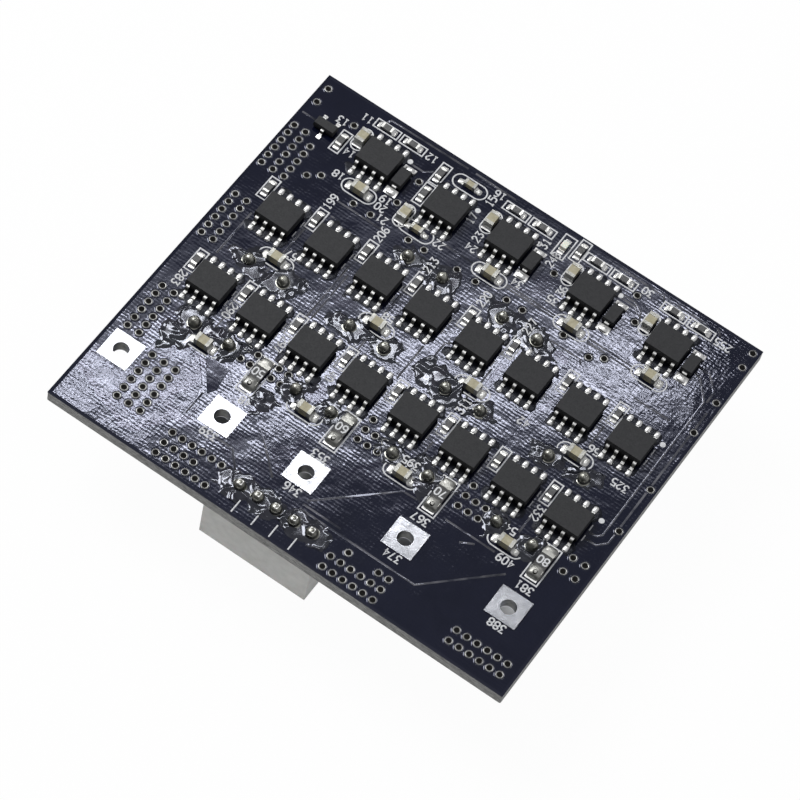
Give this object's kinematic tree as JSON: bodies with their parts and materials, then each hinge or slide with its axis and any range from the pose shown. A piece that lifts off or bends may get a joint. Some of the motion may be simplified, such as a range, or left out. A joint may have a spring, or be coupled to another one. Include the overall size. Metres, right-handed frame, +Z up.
{
  "type": "battery balancer board",
  "caption": "Bare rectangular circuit board that balances battery cells, with rows of switch chips on top, wire pads along the front, and round capacitors and a plug header underneath.",
  "frame": {"origin": "middle of the board's outline, at the level of the cans' closed ends", "axes": "+X along the row of wire pads, to the right; +Y from the wire pads towards the driver chips; +Z up, out of the face with the chips"},
  "size_m": [0.064, 0.058, 0.0152],
  "materials": {
    "solder_mask": "glossy dark solder mask on glass laminate",
    "masked_copper": "copper ring under solder mask",
    "tinned_pad": "tinned, satin",
    "header_plastic": "off-white nylon",
    "pin_metal": "tinned brass",
    "solder": "bright solder",
    "bung_rubber": "matt rubber",
    "lead_metal": "tinned lead",
    "can_aluminium": "drawn can, satin",
    "moulded_black": "moulded epoxy, matt",
    "plated_end": "tin plated",
    "shunt_coat": "dark coat",
    "resistor_glaze": "dark glaze",
    "capacitor_ceramic": "fired ceramic, satin",
    "light_resin": "pale clear resin"
  },
  "bodies": {
    "root": {"can_1": "can_aluminium", "can_10": "can_aluminium", "can_2": "can_aluminium", "can_3": "can_aluminium", "can_4": "can_aluminium", "can_5": "can_aluminium", "can_6": "can_aluminium", "can_7": "can_aluminium", "can_8": "can_aluminium", "can_9": "can_aluminium", "can_bungs": "bung_rubber", "can_leads": "lead_metal", "chip_capacitor_ends": "plated_end", "chip_capacitors": "capacitor_ceramic", "chip_light": "light_resin", "chip_light_ends": "plated_end", "chip_resistor_ends": "plated_end", "chip_resistors": "resistor_glaze", "circuit_board": "solder_mask", "clock_chip": "moulded_black", "diode_1": "moulded_black", "diode_2": "moulded_black", "diode_3": "moulded_black", "diode_4": "moulded_black", "diode_leads": "lead_metal", "driver_1": "moulded_black", "driver_2": "moulded_black", "driver_3": "moulded_black", "driver_4": "moulded_black", "driver_leads": "lead_metal", "header_housing": "header_plastic", "header_pins": "pin_metal", "shunt_1": "shunt_coat", "shunt_2": "shunt_coat", "shunt_3": "shunt_coat", "shunt_4": "shunt_coat", "shunt_ends": "plated_end", "solder_joints": "solder", "solder_toes": "solder", "switch_1": "moulded_black", "switch_10": "moulded_black", "switch_11": "moulded_black", "switch_12": "moulded_black", "switch_13": "moulded_black", "switch_14": "moulded_black", "switch_15": "moulded_black", "switch_16": "moulded_black", "switch_2": "moulded_black", "switch_3": "moulded_black", "switch_4": "moulded_black", "switch_5": "moulded_black", "switch_6": "moulded_black", "switch_7": "moulded_black", "switch_8": "moulded_black", "switch_9": "moulded_black", "switch_leads": "lead_metal", "transistor": "moulded_black", "transistor_leads": "lead_metal", "via_lands": "masked_copper", "wire_pads": "tinned_pad"}
  },
  "joints": []
}
